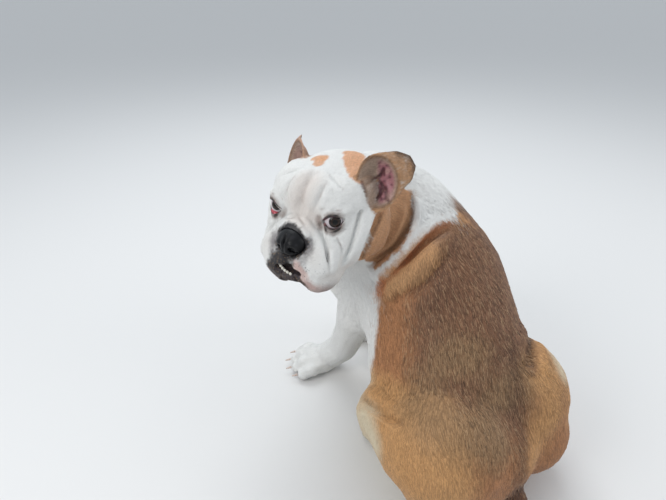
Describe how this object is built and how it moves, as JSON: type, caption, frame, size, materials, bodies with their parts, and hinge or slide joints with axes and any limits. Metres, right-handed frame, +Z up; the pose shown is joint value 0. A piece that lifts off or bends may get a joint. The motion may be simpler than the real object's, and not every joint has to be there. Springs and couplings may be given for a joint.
{
  "type": "english bulldog",
  "caption": "Young bulldog sitting on its rump with the head turned back over the left shoulder: broad wrinkled head, folded ears, thick body, short legs and tail, still life-size model.",
  "frame": {"origin": "centre of the bounding box's footprint, on the ground", "axes": "+Z up; the pelvis faces -Y, so +Y is the tail end and +X is the dog's left side; the head is turned about 110 degrees to the left of -Y"},
  "size_m": [0.3232, 0.4596, 0.424],
  "materials": {
    "chest": "skin with a short smooth coat",
    "claw_fore_left_1": "pinkish horn",
    "claw_fore_left_2": "pinkish horn",
    "claw_fore_left_3": "pinkish horn",
    "claw_fore_left_4": "pinkish horn",
    "claw_fore_right_1": "pinkish horn",
    "claw_fore_right_2": "pinkish horn",
    "claw_fore_right_3": "pinkish horn",
    "claw_fore_right_4": "pinkish horn",
    "claw_hind_left_1": "pinkish horn",
    "claw_hind_left_2": "pinkish horn",
    "claw_hind_left_3": "pinkish horn",
    "claw_hind_left_4": "pinkish horn",
    "claw_hind_right_1": "pinkish horn",
    "claw_hind_right_2": "pinkish horn",
    "claw_hind_right_3": "pinkish horn",
    "claw_hind_right_4": "pinkish horn",
    "ear_left": "thin skin with short tan hair",
    "ear_right": "thin skin with short tan hair",
    "eye_left": "wet dark eye",
    "eye_right": "wet dark eye",
    "forepaw_left": "skin with a short smooth coat",
    "forepaw_right": "skin with a short smooth coat",
    "head": "skin with a short smooth coat",
    "hindpaw_left": "skin with a short smooth coat",
    "hindpaw_right": "skin with a short smooth coat",
    "jaw": "skin with a short smooth coat",
    "lower_foreleg_left": "skin with a short smooth coat",
    "lower_foreleg_right": "skin with a short smooth coat",
    "neck": "skin with a short smooth coat",
    "nose": "moist black nose leather",
    "rump": "skin with a short smooth coat",
    "shank_left": "skin with a short smooth coat",
    "shank_right": "skin with a short smooth coat",
    "tail": "skin with a short smooth coat",
    "thigh_left": "skin with a short smooth coat",
    "thigh_right": "skin with a short smooth coat",
    "upper_foreleg_left": "skin with a short smooth coat",
    "upper_foreleg_right": "skin with a short smooth coat"
  },
  "bodies": {
    "root": {"chest": "chest", "claw_fore_left_1": "claw_fore_left_1", "claw_fore_left_2": "claw_fore_left_2", "claw_fore_left_3": "claw_fore_left_3", "claw_fore_left_4": "claw_fore_left_4", "claw_fore_right_1": "claw_fore_right_1", "claw_fore_right_2": "claw_fore_right_2", "claw_fore_right_3": "claw_fore_right_3", "claw_fore_right_4": "claw_fore_right_4", "claw_hind_left_1": "claw_hind_left_1", "claw_hind_left_2": "claw_hind_left_2", "claw_hind_left_3": "claw_hind_left_3", "claw_hind_left_4": "claw_hind_left_4", "claw_hind_right_1": "claw_hind_right_1", "claw_hind_right_2": "claw_hind_right_2", "claw_hind_right_3": "claw_hind_right_3", "claw_hind_right_4": "claw_hind_right_4", "ear_left": "ear_left", "ear_right": "ear_right", "eye_left": "eye_left", "eye_right": "eye_right", "forepaw_left": "forepaw_left", "forepaw_right": "forepaw_right", "head": "head", "hindpaw_left": "hindpaw_left", "hindpaw_right": "hindpaw_right", "jaw": "jaw", "lower_foreleg_left": "lower_foreleg_left", "lower_foreleg_right": "lower_foreleg_right", "neck": "neck", "nose": "nose", "rump": "rump", "shank_left": "shank_left", "shank_right": "shank_right", "tail": "tail", "thigh_left": "thigh_left", "thigh_right": "thigh_right", "upper_foreleg_left": "upper_foreleg_left", "upper_foreleg_right": "upper_foreleg_right"}
  },
  "joints": []
}
